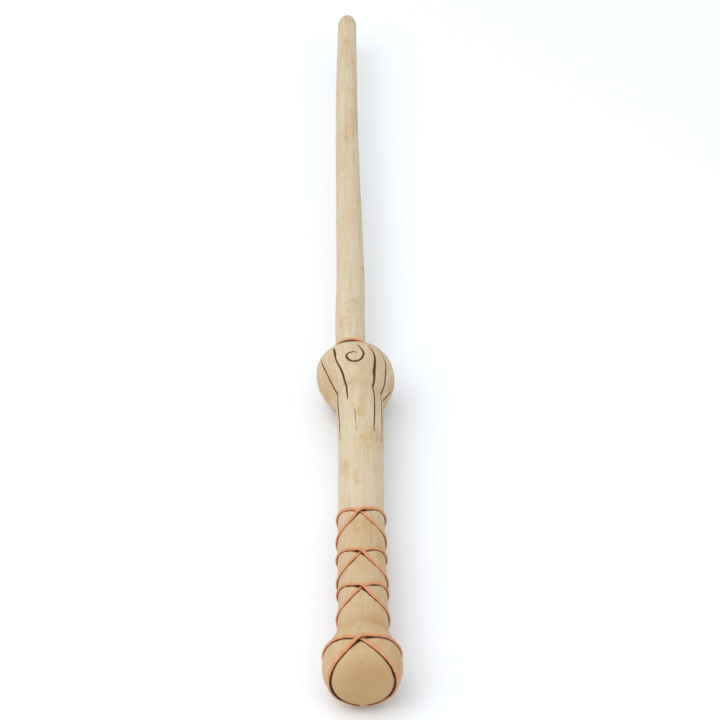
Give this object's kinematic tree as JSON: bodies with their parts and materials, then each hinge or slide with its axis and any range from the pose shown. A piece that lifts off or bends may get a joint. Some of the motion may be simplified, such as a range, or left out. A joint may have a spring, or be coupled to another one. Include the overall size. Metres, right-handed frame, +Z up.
{
  "type": "magic wand",
  "caption": "Bleached wood stage wand with a tapered shaft, a carved round bulb, a grip laced with thin cord and a turned pommel.",
  "frame": {"origin": "middle of the wand's length, on the table it lies on", "axes": "+Y along the wand towards its tip, +Z up, +X to the right seen from the pommel"},
  "size_m": [0.026, 0.3604, 0.0272],
  "materials": {
    "bleached_wood": "bleached hardwood, sanded and wiped with a dark wash, dead matte",
    "pommel_wood": "the same hardwood, darker on its end grain, dead matte",
    "waxed_cord": "thin round orange-brown lacing cord, matte",
    "pin_steel": "plain steel rod",
    "dowel_wood": "plain hardwood dowel"
  },
  "bodies": {
    "root": {"shaft": "bleached_wood", "handle": "bleached_wood", "pommel": "pommel_wood", "reinforcing_pin": "pin_steel", "pommel_dowel": "dowel_wood", "lacing_cord": "waxed_cord", "lacing_peg": "dowel_wood", "collar_binding": "waxed_cord"}
  },
  "joints": []
}
